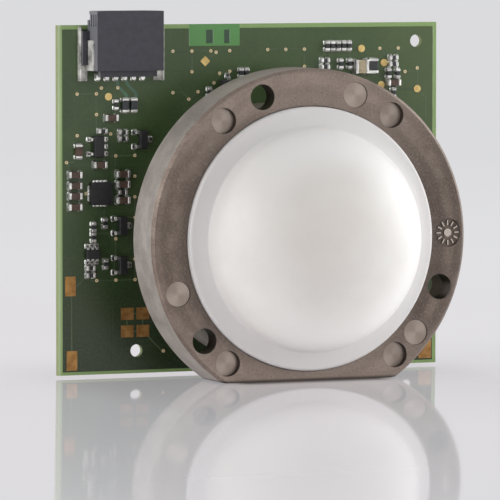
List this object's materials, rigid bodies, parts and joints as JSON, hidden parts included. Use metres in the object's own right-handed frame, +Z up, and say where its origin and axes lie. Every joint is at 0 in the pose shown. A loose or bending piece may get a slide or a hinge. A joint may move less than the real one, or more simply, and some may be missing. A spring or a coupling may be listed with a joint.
{
  "type": "radar level transmitter sensor module",
  "caption": "Circuit board with a cast antenna ring, a domed white lens, an upright edge connector and surface mounted electronics; it stands on the ring's flat.",
  "frame": {"origin": "middle of the flat at the bottom of the antenna ring, on which the module stands", "axes": "+Z up, +X to the right seen from the lens side, -Y out of the lens along its axis"},
  "size_m": [0.0549, 0.0284, 0.0487],
  "materials": {
    "board_laminate": "green solder mask over glass fibre laminate, satin",
    "gold_plate": "gold plated copper",
    "ring_casting": "matt brown grey cast metal with a fine mottle",
    "lens_ptfe": "white fluoropolymer, satin",
    "screw_steel": "bright steel",
    "absorber_foam": "matt black foam",
    "package_black": "matt black moulding compound",
    "tinned_metal": "tin plated, slightly dull",
    "connector_plastic": "matt charcoal moulding",
    "clip_metal": "tin plated spring metal",
    "brown_ceramic": "fired brown ceramic",
    "grey_ceramic": "grey ferrite ceramic",
    "dark_ceramic": "dark glazed ceramic",
    "cream_ceramic": "cream fired ceramic"
  },
  "bodies": {
    "root": {"circuit_board": "board_laminate", "gold_pads": "gold_plate", "test_points": "gold_plate", "via_rings": "gold_plate", "antenna_ring": "ring_casting", "lens": "lens_ptfe", "ring_screws": "screw_steel", "absorber_pad": "absorber_foam", "radar_chip_body": "package_black", "radar_chip_leads": "tinned_metal", "connector_housing": "connector_plastic", "connector_contacts": "tinned_metal", "connector_clips": "clip_metal", "controller_body": "package_black", "controller_leads": "tinned_metal", "regulator_body": "package_black", "regulator_leads": "tinned_metal", "transistor_bodies": "package_black", "transistor_leads": "tinned_metal", "buffer_body": "package_black", "buffer_leads": "tinned_metal", "capacitor_bodies": "brown_ceramic", "capacitor_ends": "tinned_metal", "filter_bodies": "grey_ceramic", "filter_ends": "tinned_metal", "resistor_bodies": "dark_ceramic", "resistor_ends": "tinned_metal", "large_capacitor_body": "cream_ceramic", "large_capacitor_ends": "tinned_metal", "inductor_body": "dark_ceramic", "inductor_ends": "tinned_metal", "processor_body": "package_black", "processor_leads": "tinned_metal", "crystal_can": "clip_metal", "crystal_base": "cream_ceramic"}
  },
  "joints": []
}
